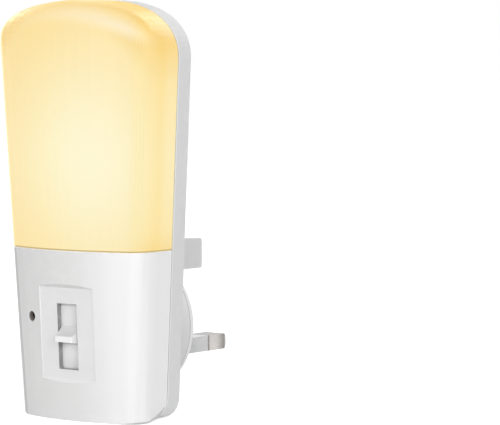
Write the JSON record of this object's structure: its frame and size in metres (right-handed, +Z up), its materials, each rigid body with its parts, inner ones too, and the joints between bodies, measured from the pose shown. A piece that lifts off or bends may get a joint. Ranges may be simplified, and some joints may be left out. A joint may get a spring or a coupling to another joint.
{
  "type": "plug-in night light",
  "caption": "Mains plug-in night light: tall crowned lens over a tapered lower housing with a slide dimmer and sensor hole, on a round boss with flat plug pins behind.",
  "frame": {"origin": "on the plug's flat face, midway between the line and neutral pins", "axes": "+Y out of the wall side along the pins, so the lens faces -Y; +Z up to the lens's crown; +X to the right seen from the front"},
  "size_m": [0.0502, 0.0558, 0.106],
  "materials": {
    "lens_plastic": "warm white translucent plastic, satin gloss, lit from inside",
    "white_plastic": "cool white moulded plastic, satin",
    "grey_white_plastic": "cool white moulded plastic, satin, seen in shade",
    "pin_plastic": "pale moulded plastic pin, satin",
    "nickel_brass": "nickel plated brass, lightly brushed",
    "sleeve_plastic": "pale insulating sleeve, satin",
    "inner_plastic": "natural moulded plastic",
    "zinc_steel": "zinc plated steel",
    "spring_brass": "bare brass",
    "green_board": "glass fibre board with green mask",
    "white_board": "glass fibre board with white mask",
    "led_phosphor": "yellow phosphor under clear resin",
    "bright_white_plastic": "bright white moulded plastic",
    "wire_insulation": "PVC insulated wire",
    "knob_plastic": "cool white moulded plastic, satin",
    "black_plastic": "black moulded plastic",
    "frame_steel": "bright pressed steel",
    "wafer_resin": "brown resin paper board",
    "clear_resin": "clear resin",
    "capacitor_box": "yellow boxed film capacitor",
    "capacitor_sleeve": "dark shrink sleeve",
    "black_epoxy": "black epoxy",
    "resistor_lacquer": "green lacquer"
  },
  "bodies": {
    "housing": {"lens": "lens_plastic", "front_housing": "white_plastic", "rear_housing": "grey_white_plastic", "plug_base": "grey_white_plastic", "earth_pin": "pin_plastic", "line_pin": "nickel_brass", "neutral_pin": "nickel_brass", "line_sleeve": "sleeve_plastic", "neutral_sleeve": "sleeve_plastic", "pin_retainer": "inner_plastic", "retainer_screws": "zinc_steel", "line_tag": "spring_brass", "neutral_tag": "spring_brass", "control_board": "green_board", "light_board": "white_board", "board_screws": "zinc_steel", "case_screws": "zinc_steel", "leds": "led_phosphor", "reflector": "bright_white_plastic", "link_wires": "wire_insulation", "dimmer_frame": "frame_steel", "dimmer_wafer": "wafer_resin", "light_sensor": "clear_resin", "sensor_tube": "black_plastic", "film_capacitor": "capacitor_box", "smoothing_capacitor": "capacitor_sleeve", "bridge_rectifier": "black_epoxy", "fuse_resistor": "resistor_lacquer", "driver_chip": "black_epoxy", "chip_resistors": "black_epoxy"},
    "slider": {"slider_knob": "knob_plastic", "dimmer_carriage": "black_plastic", "dimmer_wiper": "spring_brass"}
  },
  "joints": [
    {"name": "dimmer_slide", "type": "slide", "parent": "housing", "child": "slider", "axis": [0, -0.0434, 0.9991], "range_m": [-0.0055, 0.0045]}
  ]
}
